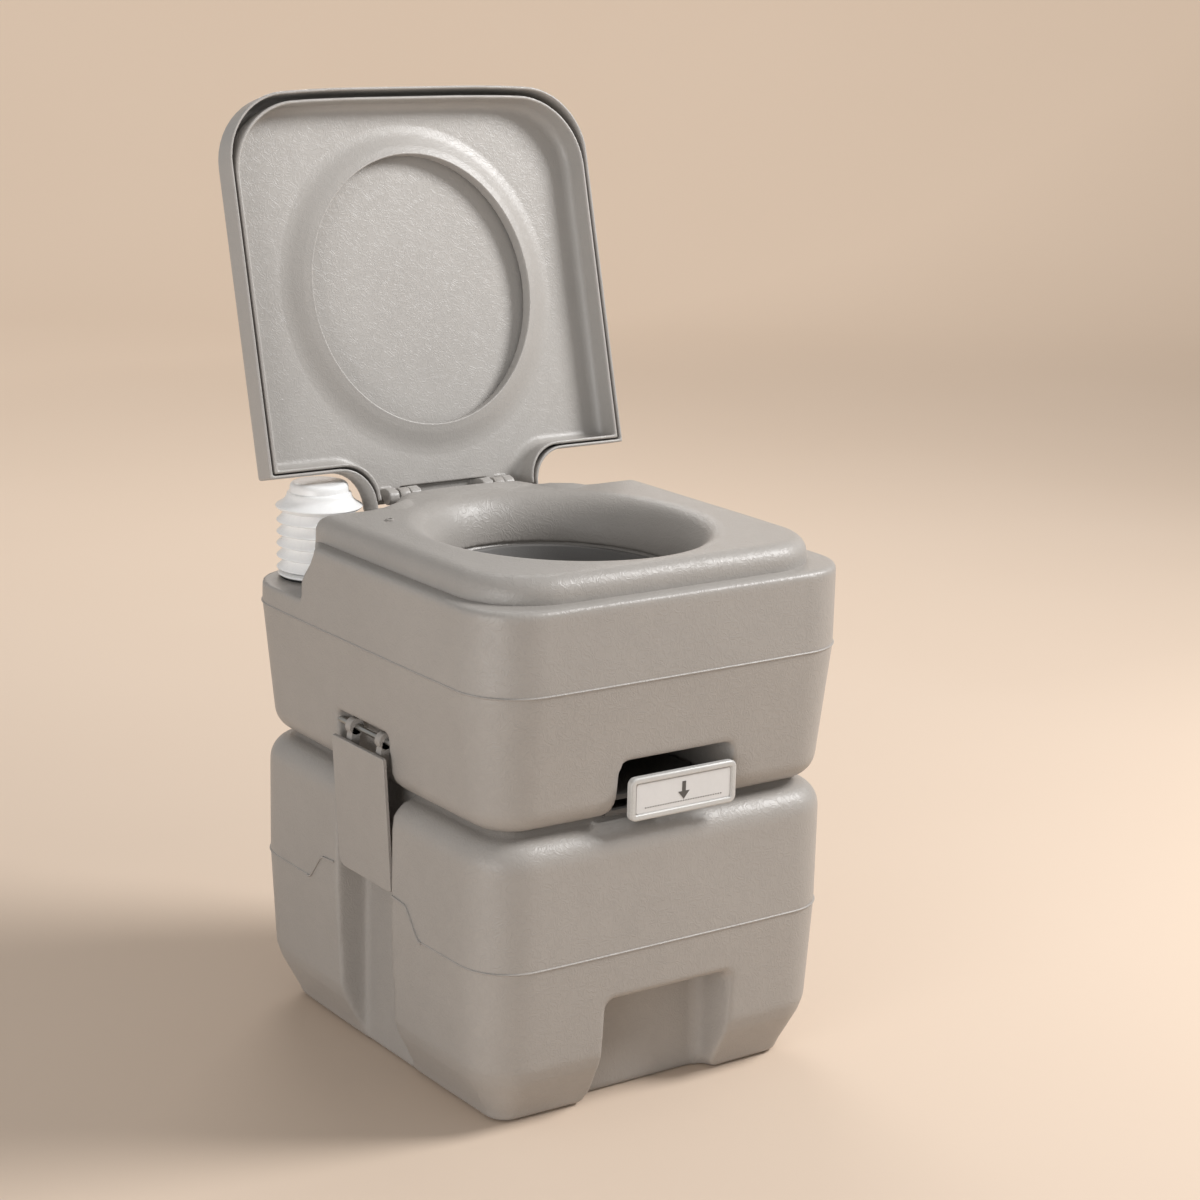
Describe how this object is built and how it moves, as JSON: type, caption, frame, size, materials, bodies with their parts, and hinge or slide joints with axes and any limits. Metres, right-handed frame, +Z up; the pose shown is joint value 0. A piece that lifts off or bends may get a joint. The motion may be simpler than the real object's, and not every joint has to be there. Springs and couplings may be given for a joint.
{
  "type": "portable camping toilet",
  "caption": "Two-tank portable camping toilet with lid and seat raised, bellows flush pump, pull slide valve, side latches and screw caps.",
  "frame": {"origin": "Middle of the foot on the floor, under the middle of the two tanks", "axes": "+Z up, +X to the right for someone facing the front, -Y the front with the pull handle, +Y the side with the lid hinge"},
  "size_m": [0.3654, 0.4586, 0.7964],
  "materials": {
    "grey": "grained warm grey polyethylene",
    "pale_grey": "smooth warm grey plastic with a soft sheen",
    "dark_grey": "moulded dark grey plastic",
    "white": "smooth white plastic",
    "rubber": "matt black rubber",
    "steel": "plain stainless steel",
    "clear": "milky soft tube"
  },
  "bodies": {
    "waste_unit": {"waste_floor": "grey", "waste_front": "grey", "waste_back": "grey", "waste_left": "grey", "waste_right": "grey", "waste_top": "grey", "valve_base": "dark_grey", "valve_lower_seal": "rubber", "valve_upper_seal": "rubber", "valve_cover": "dark_grey", "valve_screw_1": "steel", "valve_screw_2": "steel", "valve_screw_3": "steel", "valve_screw_4": "steel"},
    "valve_slide": {"valve_blade": "white", "pull_rod": "steel", "pull_handle": "white", "pull_label": "white"},
    "fresh_unit": {"fresh_base": "grey", "fresh_walls": "grey", "fresh_well": "grey", "fresh_deck": "grey", "bowl": "pale_grey", "bowl_seal": "rubber", "flush_nozzle": "dark_grey", "flush_hose": "clear", "pump_gasket": "rubber", "pump_base": "white", "pump_inlet_valve": "rubber", "pump_bellows": "white", "pickup_tube": "clear", "foot_strainer": "dark_grey", "latch_pin_left": "steel", "latch_pin_right": "steel", "hinge_pin_left": "steel", "hinge_pin_right": "steel"},
    "seat_flap": {"seat": "pale_grey"},
    "lid_flap": {"lid": "pale_grey"},
    "left_latch": {"latch_left": "grey"},
    "right_latch": {"latch_right": "grey"},
    "pump_top": {"pump_crown": "white"},
    "filler_turn": {"filler_cap": "dark_grey"},
    "filler_lift": {"filler_gasket": "rubber"},
    "drain_turn": {"drain_cap": "dark_grey"},
    "drain_lift": {"drain_gasket": "rubber"}
  },
  "joints": [
    {"name": "tank_lift", "type": "slide", "parent": "waste_unit", "child": "fresh_unit", "axis": [0, 0, 1], "range_m": [0, 0.1]},
    {"name": "valve_pull", "type": "slide", "parent": "waste_unit", "child": "valve_slide", "axis": [0, -1, 0], "range_m": [0, 0.11]},
    {"name": "seat_hinge", "type": "hinge", "parent": "fresh_unit", "child": "seat_flap", "pos_m": [0, 0.1498, 0.4492], "axis": [1, 0, 0], "range_deg": [0, 104.9]},
    {"name": "lid_hinge", "type": "hinge", "parent": "fresh_unit", "child": "lid_flap", "pos_m": [0, 0.1498, 0.4492], "axis": [1, 0, 0], "range_deg": [0, 104.9]},
    {"name": "left_latch_pivot", "type": "hinge", "parent": "fresh_unit", "child": "left_latch", "pos_m": [-0.17, 0.004, 0.291], "axis": [0, 1, 0], "range_deg": [0, 75]},
    {"name": "right_latch_pivot", "type": "hinge", "parent": "fresh_unit", "child": "right_latch", "pos_m": [0.17, 0.004, 0.291], "axis": [0, -1, 0], "range_deg": [0, 75]},
    {"name": "pump_press", "type": "slide", "parent": "fresh_unit", "child": "pump_top", "axis": [0, 0, -1], "range_m": [0, 0.028], "stiffness_N_per_m": 600, "deforming": ["pump_bellows"]},
    {"name": "filler_screw", "type": "hinge", "parent": "filler_lift", "child": "filler_turn", "pos_m": [0.1252, 0.1625, 0.4], "axis": [0, 0, 1], "range_deg": [0, 720]},
    {"name": "filler_rise", "type": "slide", "parent": "fresh_unit", "child": "filler_lift", "axis": [0, 0, 1], "range_m": [0, 0.01]},
    {"name": "drain_screw", "type": "hinge", "parent": "drain_lift", "child": "drain_turn", "pos_m": [0.092, 0.18, 0.183], "axis": [0, 1, 0], "range_deg": [0, 720]},
    {"name": "drain_rise", "type": "slide", "parent": "waste_unit", "child": "drain_lift", "axis": [0, 1, 0], "range_m": [0, 0.01]}
  ],
  "couplings": [
    {"joint": "seat_hinge", "follows": "lid_hinge", "ratio": 1},
    {"joint": "left_latch_pivot", "follows": "tank_lift", "rad_per_m": 13.08},
    {"joint": "right_latch_pivot", "follows": "tank_lift", "rad_per_m": 13.08},
    {"joint": "filler_screw", "follows": "filler_rise", "rad_per_m": 1256.6},
    {"joint": "drain_screw", "follows": "drain_rise", "rad_per_m": 1256.6}
  ]
}
